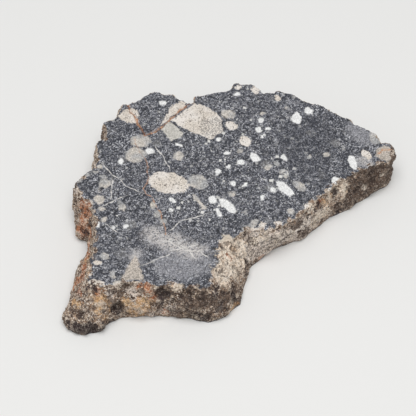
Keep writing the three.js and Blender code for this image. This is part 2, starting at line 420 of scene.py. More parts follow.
# x, y, radius and depth of holes where a grain was torn out by the saw
HOLES = [
    (3.9, 6.3, 0.16, 0.18), (6.4, 5.4, 0.15, 0.15), (19.1, 0.4, 0.15, 0.15), (14.2, 2.5, 0.14, 0.14),
    (8.1, 7.9, 0.14, 0.14), (-2.6, -0.6, 0.13, 0.12), (15.4, -3.4, 0.15, 0.14), (-13, -1.2, 0.16, 0.15),
]


def wavered(points, size, amount):
    """The points, moved about by noise, so that a straight line measured from them wavers."""
    moved = points.copy()
    near = np.flatnonzero(points[:, 2] > THICKNESS - CRACK_DEPTH)
    away = [noise_vector(Vector(points[index]) / size) for index in near]
    moved[near] += np.array(away) * amount
    return moved


def distance_to_line(points, start, end):
    """How far each point lies from one straight stretch, seen from above."""
    start = np.array(start)
    along = np.array(end) - start
    share = np.clip((points[:, :2] - start) @ along / (along @ along), 0, 1)
    return np.linalg.norm(points[:, :2] - start - share[:, None] * along, axis=1)


def distance_to_crack(points, corners):
    """How far each point lies from a crack, which wavers about its straight stretches."""
    for size, amount in WAVERS:
        points = wavered(points, size, amount)
    distance = np.full(len(points), np.inf)
    for start, end in zip(corners, corners[1:]):
        distance = np.minimum(distance, distance_to_line(points, start, end))
    return distance


def sink_face(piece, near, depth):
    """Sinks the upper sawn face by depth where near is 1, in millimetres."""
    points = points_of(piece.data)
    on_face = points[:, 2] > THICKNESS - FLAT_REACH
    points[:, 2] -= np.where(on_face, near * depth, 0)
    set_points(piece.data, points)


def cut_groove(piece, corners, depth):
    """A shallow groove along a crack."""
    distance = distance_to_crack(points_of(piece.data), corners)
    sink_face(piece, 1 - smoothstep(distance, GROOVE_BED * GROOVE_WIDTH, GROOVE_WIDTH), depth)


def cut_hole(piece, x, y, radius, depth):
    """A small round hole."""
    distance = np.linalg.norm(points_of(piece.data)[:, :2] - (x, y), axis=1)
    sink_face(piece, 1 - smoothstep(distance, HOLE_BED * radius, radius), depth)


for corners, depth in GROOVES:
    cut_groove(meteorite, corners, depth)
for hole in HOLES:
    cut_hole(meteorite, *hole)
print(len(GROOVES), "grooves and", len(HOLES), "holes cut")

# %% [markdown]
# ## Painted shade and dirt in the hollows, fewer faces on the flats
#
# The hollows are painted darker, as shade and as the dust and rust that collect there, and the high
# points are rubbed paler. How hollow each point is can be measured: the surface is smoothed in a copy,
# and where the copy lies outside the real surface, there is a hollow. The result is kept with the mesh as
# an attribute that the material reads.
# The sawn faces need few triangles, so the flat ones are thinned, and the edge keeps all of its own.

# %% How hollow each point is
SMOOTHING_ROUNDS = 14
HOLLOW_DEPTH = 0.10


def keep_hollowness(piece):
    """Stores 0 for the deepest hollows, 0.5 for flat places and 1 for the highest points."""
    mesh = piece.data
    points = points_of(mesh)
    rise = ((points - smoothed(mesh, points, SMOOTHING_ROUNDS)) * rows_of(mesh, "normal")).sum(axis=1)
    height = np.clip(0.5 + 0.5 * rise / HOLLOW_DEPTH, 0, 1)
    store(piece, "height", height)
    return height


height = keep_hollowness(meteorite)
print("hollow points:", int((height < 0.3).sum()), "high points:", int((height > 0.7).sum()))

# %% Thin the flats
UPPER_KEPT = 0.5
LOWER_KEPT = 0.06
SMOOTH_ANGLE = math.radians(38)
LEVEL = 0.001  # a point this close to a sawn plane lies in it


def thin_flat(piece, height, kept):
    """Collapses edges inside the flat part of the sawn face at this height."""
    mesh = piece.data
    flat = np.abs(points_of(mesh)[:, 2] - height) < LEVEL
    chosen = [all(flat[index] for index in face.vertices) for face in mesh.polygons]
    active(piece)
    bpy.ops.object.mode_set(mode="EDIT")
    bpy.ops.mesh.select_mode(type="FACE")
    bpy.ops.mesh.select_all(action="DESELECT")
    bpy.ops.object.mode_set(mode="OBJECT")
    mesh.polygons.foreach_set("select", chosen)
    bpy.ops.object.mode_set(mode="EDIT")
    bpy.ops.mesh.decimate(ratio=kept)
    bpy.ops.object.mode_set(mode="OBJECT")


thin_flat(meteorite, THICKNESS, UPPER_KEPT)
thin_flat(meteorite, 0, LOWER_KEPT)
active(meteorite)
bpy.ops.object.shade_smooth_by_angle(angle=SMOOTH_ANGLE)
triangles = sum(len(face.vertices) - 2 for face in meteorite.data.polygons)
print("triangles:", triangles)

# %% [markdown]
# ## Stones in their places
#
# In the real breccia every pale patch is a broken piece of older rock, and the saw cut them where they
# lay. The large ones are set one by one. Each is an ellipsoid with its middle near the upper sawn
# face, so it also shows down the edge where it reaches that far, and the six largest have straight
# sides. Dozens of such shapes are more than a renderer's shader can hold at once, so the mesh carries
# them: every point stores how far outside the nearest stone of a kind it lies. That number changes
# smoothly from point to point, so a threshold on it in the material gives an outline that is much
# sharper than the mesh.

# %% Stones by kind: x, y, length, width, and turn in degrees
FACE_STONES = {}
FACE_STONES["cream_stones"] = [
    (-3.8, 1.1, 4.8, 3.2, -49), (7.4, 4.4, 1.5, 1.2, -60), (13.2, 7.6, 1.3, 1.1, 52),
    (14.8, 5, 1.1, 0.7, 80), (18.4, -8.4, 1.3, 0.9, 70), (11.4, -10.2, 0.9, 0.9, 0),
    (7.4, 1.4, 1.7, 1.3, 86), (-17.8, -4.7, 1.2, 0.7, 68), (-17.9, -6.4, 1.9, 0.8, -40),
    (11.6, 9.1, 0.8, 0.6, 52), (17.8, 1.9, 0.6, 0.5, -72), (8.2, -10.9, 1.8, 1, 26),
    (1, -10.2, 1.9, 0.6, -33), (1.9, -10, 0.9, 0.8, 43), (3.5, -10.7, 1, 0.6, -33),
    (-16.5, -4.1, 1, 0.7, -36), (18.2, -8, 1, 0.7, 60), (7.9, -10.9, 1.5, 1, 30),
]
FACE_STONES["white_stones"] = [
    (7.1, -7.2, 2.8, 1.2, -83), (0.1, -5.5, 2.7, 1, -84), (-0.8, -3.9, 1.2, 0.8, 64),
    (16.2, -8.4, 2.2, 1, 65), (12.8, -9.4, 1.1, 0.9, 39), (14.7, 1, 1.8, 1.3, 51), (-3, 6.4, 1, 0.8, -57),
    (2.4, 12.2, 0.9, 0.9, 0), (16.7, 1.1, 1.2, 0.9, 72), (6.9, -1.3, 1.5, 1, 90), (9.8, -3.3, 1, 0.6, 72),
    (10.8, 8.3, 0.8, 0.7, 54), (10.9, 3.1, 0.8, 0.7, 52), (9.8, 2, 0.9, 0.7, 53),
    (10.8, 1.5, 0.8, 0.5, -32), (-4.7, -1.3, 1.1, 0.5, -81), (-5.6, -2.5, 0.9, 0.5, -72),
    (5.1, -1, 1, 0.8, -59), (-1.3, -5.8, 1.3, 0.6, 77), (5.9, -6.6, 0.8, 0.6, -58),
    (-11.2, -1.5, 0.8, 0.6, -42), (2, -0.7, 0.9, 0.7, 55), (3.4, -4.1, 0.9, 0.4, 6),
    (0.4, 5.3, 1, 0.4, -67), (4.8, 3.4, 0.6, 0.5, -26), (4.5, 1.1, 0.7, 0.5, -31),
    (3.5, -0.8, 0.7, 0.5, 55), (2.5, -3.2, 0.7, 0.5, 55), (9.6, 0.9, 0.6, 0.5, 0), (-6.8, 7, 0.7, 0.5, 63),
    (-13.7, 0.5, 1.1, 0.4, 60), (4.2, -6.7, 0.9, 0.5, 54), (-12.6, -0.9, 0.6, 0.5, 64),
    (18.7, -10.2, 0.6, 0.4, -83),
]
FACE_STONES["grey_stones"] = [
    (-15.9, -7.9, 1.6, 0.9, -30), (3, 8.4, 0.7, 0.6, 20), (1.4, -9.2, 1.2, 0.7, -20),
    (-0.8, -0.7, 2.5, 1.9, -80), (-2.3, -2.7, 1.6, 0.5, 89), (-2.3, -4, 1.3, 0.5, 88),
    (-7, -0.7, 1, 0.7, 60), (-7.3, -2, 1.1, 0.7, 59), (-7.3, -3.3, 1, 0.7, -67),
    (-4.8, 6.9, 2.6, 2.3, -41), (-3.1, 8.4, 2.4, 1.9, -37), (-0.6, 3.9, 1.4, 1.3, 64),
    (11.8, 3.8, 0.9, 0.5, -33), (14.8, 2.9, 0.8, 0.4, -68), (-10.1, 1, 1.1, 0.9, -62),
    (5.8, -10.2, 0.9, 0.7, -67), (8.8, -7.8, 2, 1, -76), (21, -6.8, 2.4, 1.6, 56),
    (-12.3, 7.2, 0.6, 0.6, 0), (-11, 7.4, 0.7, 0.6, 0), (-10.2, 7.3, 0.9, 0.5, -35),
    (-9.3, 7.7, 0.6, 0.6, 0), (-9.6, 6.1, 0.8, 0.5, -36), (-11.2, 4.6, 0.6, 0.5, 65),
    (8.1, 6.2, 1.8, 1.4, -58), (12.4, -4.9, 0.7, 0.6, -25), (-13.5, -6.7, 1.2, 0.6, 59),
    (-15.8, -6.4, 1.1, 0.6, 60), (-10, 5.2, 1.5, 1.3, -57), (-11.8, 3.5, 1.3, 1.1, -82),
    (-13, 3.6, 1.2, 0.9, 66), (-15.3, -3.8, 1.1, 0.9, -47), (14.3, -5.7, 0.8, 0.6, -24),
    (7.4, -3.4, 1, 0.5, -5), (8.5, -3.6, 1, 0.5, -85), (8.3, -4.9, 1.1, 0.4, 15),
    (8.3, -5.7, 0.9, 0.4, 54), (1.3, -7.4, 0.7, 0.6, 0), (0.9, -9.4, 0.8, 0.6, -31),
    (0, -9.3, 0.8, 0.6, 0), (6, 0.5, 0.7, 0.6, 0), (1.5, -4.4, 0.8, 0.6, -32), (-12.2, 2.1, 0.8, 0.5, -35),
    (-12.8, 0.6, 0.8, 0.7, 0), (16.6, -6, 0.7, 0.5, 47),
]
# areas where the matrix itself is paler, with soft borders
FACE_STONES["pale_areas"] = [
    (-9.1, -4.7, 3.6, 2.6, -68), (-7.2, -7.8, 5, 2.3, -49), (-12.6, -5.9, 1.9, 0.9, 59),
    (-8.2, -5.9, 3.4, 2.2, -30), (17.4, -9.3, 2.2, 1.6, -60),
]
# areas where it is evenly grey, with few pale grains
FACE_STONES["even_areas"] = [
    (-8.6, -9.6, 6.4, 4, -35), (19.8, -5.4, 3.8, 2.8, -80), (-12.6, -6, 3, 2, 60),
]
# areas where it is darker
FACE_STONES["dark_areas"] = [
    (-2.6, -8, 2.2, 1.2, 30), (0.6, -8.6, 2.6, 1.4, 20), (-14.4, -5, 2, 1.2, -30),
    (12, -8.2, 3.4, 1.4, 60), (5.4, 5.4, 3.4, 3.2, 0), (13.5, -3, 9, 7, 60), (15.6, -8, 3, 1.2, 60),
    (-4.6, -11, 2.4, 1.2, -40), (10.6, -6.6, 3, 1.6, 40), (-10.6, -3, 2, 1.6, 0),
]
# where small pale stones lie close together
FACE_STONES["crowded_areas"] = [
    (5.6, -1.6, 13, 8.5, -70), (-2.5, -4, 8, 5, -60), (10.4, 6, 6, 4, 50), (-12, 0, 6, 3, -60),
]

# %% The largest stones, by their corners seen from above
GREAT_STONE = [(5.6, 10), (6.3, 9), (7, 7.3), (7.1, 6.2), (5.9, 4.1), (4, 3.9), (2.5, 6.6), (1.7, 9.2)]
BACK_STONE = [(4.5, 11.3), (5.1, 10.3), (3.7, 10), (-0.2, 8.8), (1.3, 10), (3.2, 11.2)]
GREY_BLOCK = [(-0.1, 8.6), (1.5, 9.1), (1.9, 6.5), (1, 6), (-0.1, 6.5)]
CROWN_STONE = [
    (-3.5, 13.4), (-2.7, 13.7), (-1.2, 13.6), (-0.9, 12.9), (-1.1, 12.1), (-2.1, 11.1), (-2.9, 11.6),
]
WEDGE_STONE = [(-12.3, -5.4), (-13.3, -9), (-15.6, -7.6)]
KNOB_STONE = [(19, -9), (19.9, -8.2), (21.1, -8.5), (21.4, -9.3), (20.8, -10.4), (19.6, -10.8)]
BLOCKS = {
    "great_stones": [GREAT_STONE, BACK_STONE, CROWN_STONE],
    "grey_blocks": [GREY_BLOCK],
    "tan_blocks": [WEDGE_STONE, KNOB_STONE],
}
print(sum(len(stones) for stones in FACE_STONES.values()), "round stones and areas")

# %% Veins and dark lines: corners x, y from end to end
VEINS = [
    [(-8.8, 8), (-8.7, 5.8), (-8.3, 4.8), (-8.1, 3.4), (-7.1, 1.5)],
    [(-11.8, 2.4), (-10.1, 2.4), (-8.7, 2.2)], [(-9, 5.2), (-9.8, 4), (-10.6, 2.8)],
    [(-2.2, 6.6), (-2.2, 4.4), (-2.6, 2.6)], [(-7.5, -4.8), (-5.3, -4.4), (-2.4, -5.2)],
    [(-12.6, -7.3), (-10.4, -7.5), (-9, -7.6)],
    [(-8.2, -6.3), (-7.5, -8.1), (-6, -9.1), (-5.8, -10.4)],
    [(-7.6, -7), (-7.1, -8.3), (-7, -9.6)], [(-8.8, -7.2), (-7.4, -7.8), (-6, -8.2)],
    [(-9, -5.4), (-7.9, -6.5)],
    [(8.3, -4.7), (9, -5.2), (8.5, -6.1)],
    [(-12.9, 0), (-12.3, -2)],
]
DARK_LINES = [
    [(1.5, 9.1), (1.9, 7.3), (1.9, 6.6)],
    [(7.2, 7.1), (7.4, 6.4), (7.5, 5.2), (8.1, 5)],
    [(18.4, -7.4), (19.9, -7.6), (21.1, -8), (22.1, -8.4)],
]
print(len(VEINS), "veins and", len(DARK_LINES), "dark lines")

# %% [markdown]
# ## Zones of the weathered edge
#
# The edge has no pattern that noise could give: a cream lump here, rust there, soot-dark holes between.
# Each zone is set by hand as a ball in the stone, and the edge takes its colour where it cuts the ball.
# Noise blurs and breaks up their borders, so that they run together. Stones in the edge are set in the
# same way, but they keep crisp borders.

# %% Patches on the broken edge: x, y, z of the middle, and how wide
EDGE_PATCHES = {}
EDGE_PATCHES["beige_patches"] = [
    (3, -11, 2.6, 5), (6.5, -11.4, 2.4, 4.4), (0.4, -10.5, 2.8, 4.2), (9.6, -10.8, 2.2, 3),
    (-16.4, -7.8, 5, 0.9), (-15.8, -8.1, 4.5, 0.9), (-14.9, -8.7, 4, 1.2), (-17.1, -7.9, 3.9, 1.1),
    (-12.5, -11.1, 0.9, 1.1), (-11.5, -11.7, 1.6, 1.5), (0.6, -10.3, 4, 2), (2, -11, 4.2, 2),
    (1.4, -10.9, 1.4, 2.2), (-12.7, 7.6, 2.1, 2.2), (8.1, -11.2, 1.8, 1.8), (10.6, -10.6, 2.2, 1.4),
    (-13.2, 6.5, 5, 1.2), (-11.4, -12, 0.9, 1.2), (-13.7, -10.3, 0.7, 1.2), (21.7, -8, 2.9, 1.6),
    (1.6, 12.6, 3, 2.4), (14, 9.5, 2.4, 2.6), (18.6, 2.4, 3, 3.4), (9.6, 11.6, 1.6, 2.6),
    (-9.8, 10.4, 3.4, 2.4), (20.8, -2, 1.8, 2.4),
]
EDGE_PATCHES["brown_patches"] = [
    (14, -10.5, 1.8, 2.4), (15.6, -10.5, 2.6, 4), (17.6, -10.4, 2.9, 5), (19.8, -10.4, 3, 4.6),
    (21.6, -10, 2.6, 3.6), (-10.3, -12.7, 3.2, 2.2), (-9.4, -13.4, 3, 2.2), (5.9, -11.4, 3.6, 1.8),
    (7.1, -11.4, 1.4, 1.6), (13.2, -10.7, 1, 1.4), (-12.8, -10.7, 2.2, 1.4), (-8.6, -14, 3.4, 2.4),
    (-6.8, -14.6, 2.6, 3), (12.4, -10.5, 1.6, 1.4), (14.8, -10, 4.8, 1.2), (-19.6, -8.9, 0.5, 2.2),
    (-12, -11, 5, 1.5), (-9.9, -12.6, 5, 1.9), (-8.5, -13.6, 5, 1.6), (-7.5, -13.9, 5, 1.2),
    (-11.2, -12.2, 1, 2.2), (-9.8, -13.3, 1.2, 2.4), (-8.2, -14.3, 1.4, 2), (-20, -5, 1.2, 2.4),
    (-20.6, -6.2, 2, 1.8), (-21.1, -7.8, 0.8, 1.8), (-17.2, -8.1, 3.2, 1.5), (-16.3, -8.1, 4.2, 1.4),
    (-12, -10.9, 4, 2), (-4.9, -13.9, 2.1, 1.8), (-4.3, -14.7, 0.7, 1.8), (-7, -15, 0.9, 1.2),
    (-1.4, -11.6, 1, 1.2), (-20.6, -6.8, 2.1, 1.5), (21.9, -9.6, 4.5, 1.4), (-6, 13.4, 2.4, 3.4),
    (8.5, 12.3, 2, 3), (22.2, -8.3, 4.4, 2.8), (16.4, 6.4, 2.6, 3.8), (5.4, 13, 3.4, 2.6),
    (20.4, 0.2, 3.4, 2.8), (-11.6, 9, 2, 3), (12, 11, 3.6, 2.4),
]
EDGE_PATCHES["tan_patches"] = [
    (10.7, -10.5, 3.8, 1.4), (11.5, -10.4, 4.2, 0.9), (-10.6, -12.6, 4.6, 0.7), (-18.1, -7, 4.7, 0.9),
    (-18.5, -7.4, 3.8, 1.6), (-18.5, -8, 2.9, 1.5), (-18.4, -8.4, 2.2, 1.1), (-15.5, -8.7, 2.7, 1.6),
    (-15.2, -9.2, 1.4, 1.8), (-14.2, -9.7, 2, 2.3), (-14.5, -9.8, 0.9, 1.5), (-13.5, -10, 3, 1.5),
    (-5.8, -14.5, 1.4, 1.2), (-5.5, -14.9, 0.4, 1.3), (-20.3, -6.1, 2.9, 1.1), (-3.2, -10.4, 3.9, 1.6),
    (-2, -10.4, 3.8, 1.4), (-16.9, -2.6, 3.9, 1.2), (-14.5, 1.1, 2.4, 1.2), (-18, -4.6, 4.4, 1.4),
    (-15.6, -0.6, 3.6, 1.2),
]
EDGE_PATCHES["cream_patches"] = [
    (-5.5, -12.7, 4.4, 2.4), (-3.5, -11.7, 3.4, 3), (-2.4, -10.8, 2.9, 2.8), (-3.6, -11, 4.3, 2.8),
    (-2.8, -9.9, 4.6, 1.9), (-1.4, -10.3, 3.9, 1.8), (9.1, -10.9, 2.2, 2.3), (10.2, -10.7, 2.1, 2),
    (11.1, -10.5, 3.9, 1), (-10.8, -11.8, 4.9, 1), (-9.6, -13.7, 0.8, 0.7), (-19.3, -6.3, 3.9, 0.8),
    (1.5, -10.6, 4, 1.2), (13.3, -10.2, 4, 1.7), (12.6, -10.3, 3.9, 0.9), (8.2, -10.9, 4.6, 1.2),
]
EDGE_PATCHES["rust_patches"] = [
    (-13.5, 3.8, 4.2, 2.2), (-13.9, 3.1, 3.1, 2.4), (-14.4, 3.1, 1.8, 2.4), (-14.8, 3.5, 0.5, 1.8),
    (-13.5, -9.6, 4.5, 1.5), (-13.2, -10, 4, 1.3), (-13.9, -9.2, 4.8, 0.9), (-18.5, -2.5, 0.8, 1.2),
    (-19.5, -3.6, 0.9, 1), (-17.9, -2.5, 2, 1), (-18.4, -4.4, 4, 2), (-18.9, -4.2, 3, 2),
    (-17.4, -2, 1.8, 2), (-19.5, -4.6, 2.6, 1.5), (-19.6, -5.9, 3.8, 1.2), (-14.2, 1.4, 3.4, 0.9),
    (-16.1, -0.8, 2.2, 1), (-14.6, 0.8, 3.2, 1.6), (-15.6, -0.8, 3.4, 1.8), (-16.6, -2.2, 3.4, 1.8),
    (-17.5, -3.6, 3.8, 1.8), (-18.2, -5, 3.8, 1.6), (-18.9, -6, 3.6, 1.2), (-18.1, -7, 4.7, 0.7),
    (-3.7, -10.8, 4.4, 0.7), (1.1, -11, 0.7, 0.9), (2.3, -10.9, 0.3, 0.8), (10, -10.6, 4.2, 0.8),
    (11.3, -10.4, 4.3, 0.7), (22.1, -8.4, 2.9, 0.5), (-13.1, -10.2, 3.4, 0.8), (-12.3, -11.3, 0.9, 0.7),
    (-8.2, 10.7, 1.7, 0.8), (-5.2, 13.5, 4.4, 0.9),
]
# painted shade: near-black patches, most of them set in the holes that the edge marks push in, some low at
# the foot
EDGE_PATCHES["painted_shade_patches"] = [
    (-18.7, -6.2, 4.7, 1.3), (-16.5, -8.4, 2.7, 0.7), (-17, -8.5, 2.1, 0.8), (-16.6, -8.7, 1.6, 0.8),
    (-17.1, -8.8, 1, 0.9), (-17.6, -8.8, 0.4, 0.9), (-12.6, -10.5, 4.3, 0.8), (-12.2, -10.9, 3.7, 0.9),
    (-11.6, -11.3, 3.9, 0.9), (-12.3, -10.9, 2.9, 0.7), (-11.9, -11.2, 4.4, 0.8), (-7.4, -14.1, 4.2, 1.3),
    (-5.1, -14.2, 1.7, 1.4), (-9, -14.3, 0.9, 1.3), (-7.4, -14.9, 1.6, 1.3), (-21.3, -7.7, 0.6, 2.3),
    (-20.5, -8.6, 0.5, 2.4), (-19.6, -9, 0.5, 2), (-21.6, -6.8, 0.9, 1.5), (7.7, -11.1, 3.9, 0.7),
    (8.6, -10.8, 4.4, 0.7), (9.8, -10.6, 3.9, 0.6), (12.6, -10.7, 0.1, 1.4), (-1.8, -11.4, 1.6, 1.3),
    (-13.9, 1.8, 3.8, 0.8), (-14.3, 2.4, 2, 0.7), (-5.4, -12.8, 4.2, 0.4), (21.9, -9.6, 4.5, 0.9),
    (22.4, -8.6, 4.4, 1.3), (-12.9, 7.1, 4.8, 0.6), (12.1, -10.3, 4.2, 0.5), (18, -10.6, 0.9, 0.9),
]
# pale stones with crisp borders
EDGE_PATCHES["edge_stones"] = [
    (9.1, -10.9, 2.4, 1.8), (10.3, -10.7, 2, 1.2), (11.2, -10.5, 4.1, 0.9), (13.3, -10.2, 3.9, 1.3),
    (8.1, -11, 4.9, 1.3), (-10.8, -11.8, 4.9, 0.8), (-5.7, -14.5, 1.4, 1.1), (-9.6, -13.7, 0.8, 0.7),
    (-18.7, -7.6, 3.4, 0.9), (-14.8, -9.3, 2.4, 0.8), (-15.9, -8, 4.7, 0.7), (-11.6, -11.7, 1.5, 0.9),
    (-4.9, -12.5, 4.4, 1.1), (-2.6, -11, 3.2, 1.2), (0.6, -10.3, 3.6, 1.3), (3.2, -11.1, 2.6, 1.1),
    (5.4, -11.3, 2.8, 0.7), (16.6, -10.5, 2.4, 0.8), (19.2, -10.5, 3.2, 0.9), (-20.4, -6.4, 2.6, 0.8),
]
print(sum(len(patches) for patches in EDGE_PATCHES.values()), "patches and stones in the edge")

# %% Measure the stones on the mesh
STONE_DEPTH = 0.8  # a stone's depth, as a share of its width
BLOCK_DEPTH = 2.0  # how far down the great stones reach, in millimetres
FAR = 1.0  # distances are kept up to this many millimetres
CRACKS = {"rusty_cracks": [BACK_CRACK, NOTCH_CRACK, KNOB_CRACK], "long_crack": [LONG_CRACK]}


def in_face(stones):
    """Stones of the sawn face, given their height and depth."""
    return [(x, y, THICKNESS, length, width, STONE_DEPTH * width, turn)
            for x, y, length, width, turn in stones]


def in_edge(patches):
    """Patches of the edge, which are as deep as they are wide."""
    return [(x, y, z, width, width, width, 0) for x, y, z, width in patches]


def outside_stones(points, stones):
    """How far each point lies outside the nearest stone, and less than nothing inside one."""
    nearest = np.full(len(points), FAR)
    for x, y, z, length, width, depth, turn in stones:
        away = points - (x, y, z)
        cos, sin = math.cos(math.radians(turn)), math.sin(math.radians(turn))
        along = away[:, 0] * cos + away[:, 1] * sin
        across = away[:, 1] * cos - away[:, 0] * sin
        radii = 2 * np.sqrt((along / length) ** 2 + (across / width) ** 2 + (away[:, 2] / depth) ** 2)
        distance = np.linalg.norm(away, axis=1)
        nearest = np.minimum(nearest, distance - distance / np.maximum(radii, 1e-6))
    return np.maximum(nearest, -FAR)


def outside_blocks(points, blocks):
    """The same for upright blocks, each given by its corners seen from above."""
    nearest = np.full(len(points), FAR)
    for corners in blocks:
        middle = np.mean(corners, axis=0)
        own = THICKNESS - BLOCK_DEPTH - points[:, 2]
        for first, second in zip(corners, corners[1:] + corners[:1]):
            along = np.subtract(second, first)
            out = np.array((along[1], -along[0])) / np.linalg.norm(along)
            out *= -np.sign(out @ (middle - first))
            own = np.maximum(own, (points[:, :2] - first) @ out)
        nearest = np.minimum(nearest, own)
    return np.maximum(nearest, -FAR)


def outside_cracks(points, cracks):
    """How far each point lies from the nearest of some cracks, seen from above."""
    nearest = np.full(len(points), FAR)
    for corners in cracks:
        nearest = np.minimum(nearest, distance_to_crack(points, corners))
    return nearest


def store_distances(piece, kinds, measure, prepare=list):
    """Measures each kind of stone, block, crack or patch, and keeps the distances with the mesh."""
    points = points_of(piece.data)
    for name, members in kinds.items():
        distances = measure(points, prepare(members))
        store(piece, name, distances)
        print(name, "inside:", int((distances < 0).sum()), "points")


store_distances(meteorite, FACE_STONES, outside_stones, in_face)
store_distances(meteorite, BLOCKS, outside_blocks)
store_distances(meteorite, CRACKS, outside_cracks)
store_distances(meteorite, EDGE_PATCHES, outside_stones, in_edge)

# %% [markdown]
# ## A small kit for writing materials
#
# A material of hundreds of stones is too much to wire by hand. Two small classes let it be written as
# sums instead. `Channel` stands for a number that changes over the surface, and adding or multiplying
# channels adds Math nodes. `Mixer` makes every other node, and joins colours and vectors.

# %% Channel and Mixer
def sum_node(operation, turned_round=False):
    """A method that joins a channel and another number with one Math node."""
    def method(self, other):
        return self.mixer.maths(operation, *((other, self) if turned_round else (self, other)))
    return method


class Channel:
    """One output of a node, with Python's own arithmetic on it."""

    __add__ = __radd__ = sum_node("ADD")
    __mul__ = __rmul__ = sum_node("MULTIPLY")
    __sub__ = sum_node("SUBTRACT")
    __rsub__ = sum_node("SUBTRACT", turned_round=True)
    at_most = sum_node("MINIMUM")
    at_least = sum_node("MAXIMUM")

    def __init__(self, mixer, socket):
        self.mixer = mixer
        self.socket = socket

    def rise(self, start, end):
        """0 before start, 1 after end; falls instead if start is the larger."""
        settings = {"interpolation_type": "SMOOTHSTEP"}
        limits = {1: start, 2: end} if start < end else {1: end, 2: start, 3: 1.0, 4: 0.0}
        return self.mixer.node("ShaderNodeMapRange", settings, {0: self, **limits})


class Mixer:
    """A material, and the nodes that are added to it."""

    def __init__(self, name):
        self.material = bpy.data.materials.new(name)
        self.material.use_nodes = True
        self.tree = self.material.node_tree
        self.tree.nodes.clear()

    def node(self, kind, settings, inputs, output=0):
        """Adds a node: its settings first, then a value or a channel for each input named."""
        made = self.tree.nodes.new(kind)
        for key, value in settings.items():
            setattr(made, key, value)
        for key, value in inputs.items():
            if isinstance(value, Channel):
                self.tree.links.new(value.socket, made.inputs[key])
            else:
                made.inputs[key].default_value = value
        return Channel(self, made.outputs[output]) if made.outputs else None

    def maths(self, operation, *values):
        return self.node("ShaderNodeMath", {"operation": operation}, dict(enumerate(values)))

    def attribute(self, name):
        """A number kept on the mesh under this name."""
        return self.node("ShaderNodeAttribute", {"attribute_name": name}, {}, "Fac")

    def vector(self, operation, *values, output=0):
        """A vector sum. Its output is a vector, or else "Value": a length or a dot product."""
        return self.node("ShaderNodeVectorMath", {"operation": operation}, dict(enumerate(values)), output)

    def scaled(self, place, factor):
        return self.node("ShaderNodeVectorMath", {"operation": "SCALE"}, {0: place, "Scale": factor})

    def blend(self, share, first, second):
        """One colour running into another as share goes from 0 to 1."""
        return self.node("ShaderNodeMix", {"data_type": "RGBA"}, {0: share, 6: first, 7: second}, 2)

    def noise(self, place, size, detail=2.0, output=0, roughness=0.5):
        """Cloudy noise whose lumps are this many millimetres across."""
        inputs = {"Vector": place, "Scale": 1 / size, "Detail": detail, "Roughness": roughness}
        return self.node("ShaderNodeTexNoise", {}, inputs, output)

    def cells(self, place, size, metric="EUCLIDEAN"):
        """A cell every so many millimetres: how far its middle is, and three random numbers of its own."""
        inputs = {"Vector": place, "Scale": 1 / size}
        distance = self.node("ShaderNodeTexVoronoi", {"distance": metric}, inputs, "Distance")
        colour = Channel(self, distance.socket.node.outputs["Color"])
        chances = self.node("ShaderNodeSeparateColor", {}, {0: colour}).socket.node.outputs
        return [distance] + [Channel(self, chance) for chance in chances]


def paint(red, green, blue):
    """A colour as a screen shows it, 0 to 255, turned into the light it stands for."""
    def light(value):
        value /= 255
        return value / 12.92 if value <= 0.04045 else ((value + 0.055) / 1.055) ** 2.4
    return (light(red), light(green), light(blue), 1.0)


breccia = Mixer("lunar_breccia")
print("the kit is ready")

# %% Coats of colour and thin lines
VEIN_WIDTH = 0.16
VEIN_REACH = 0.625  # half of a stretch of vein and a little more, so that the stretches meet


def two_tone(share, shade, light):
    """From a shade to a light, both as a screen shows them."""
    return breccia.blend(share, paint(*shade), paint(*light))


def coated(colour, coats):
    """The colour under some coats: what each is, where it lies, how much it covers, and its colour."""
    for what, where, cover, coat in coats:
        coat = coat if isinstance(coat, Channel) else paint(*coat)
        colour = breccia.blend(where * cover, colour, coat)
        print("laid on:", what)
    return colour


def radii_from_lines(place, lines):
    """How many half widths the place lies from the nearest of some lines in the upper sawn face."""
    nearest = None
    for corners in lines:
        for (x, y), (next_x, next_y) in zip(corners, corners[1:]):
            run = math.hypot(next_x - x, next_y - y)
            own_place = breccia.node("ShaderNodeMapping", {"vector_type": "TEXTURE"}, {
                "Vector": place,
                "Location": ((x + next_x) / 2, (y + next_y) / 2, THICKNESS),
                "Rotation": (0, 0, math.atan2(next_y - y, next_x - x)),
                "Scale": (VEIN_REACH * run, VEIN_WIDTH / 2, VEIN_WIDTH),
            })
            own = breccia.vector("LENGTH", own_place, output="Value")
            nearest = own if nearest is None else nearest.at_most(own)
    return nearest


print("coats and thin lines are ready")

# %% [markdown]
# ## The stone's own colours
#
# The matrix is a dark grey glass full of crumbs, from ones that the eye can just make out to dust. So
# the base is dark and light noise at four scales, with pale and near-black grains and broken threads
# on top, and crumbs come from Voronoi cells of four sizes: in each, a random few cells hold a stone,
# as large and as pale as chance makes it. The same crumbs go all through the slab, so the edge and
# the underside have them too.

# %% Noise of several sizes, in millimetres
def shaken(place, *shakes):
    """The place, moved about by noise: each shake has a size and a reach."""
    for size, reach in shakes:
        away = breccia.vector("SUBTRACT", breccia.noise(place, size, 1.0, output=1), (0.5, 0.5, 0.5))
        place = breccia.vector("ADD", place, breccia.scaled(away, 2 * reach))
    return place


def sway(noise, reach):
    """Noise as a push one way or the other, by up to half of reach."""
    return (noise - 0.5) * reach


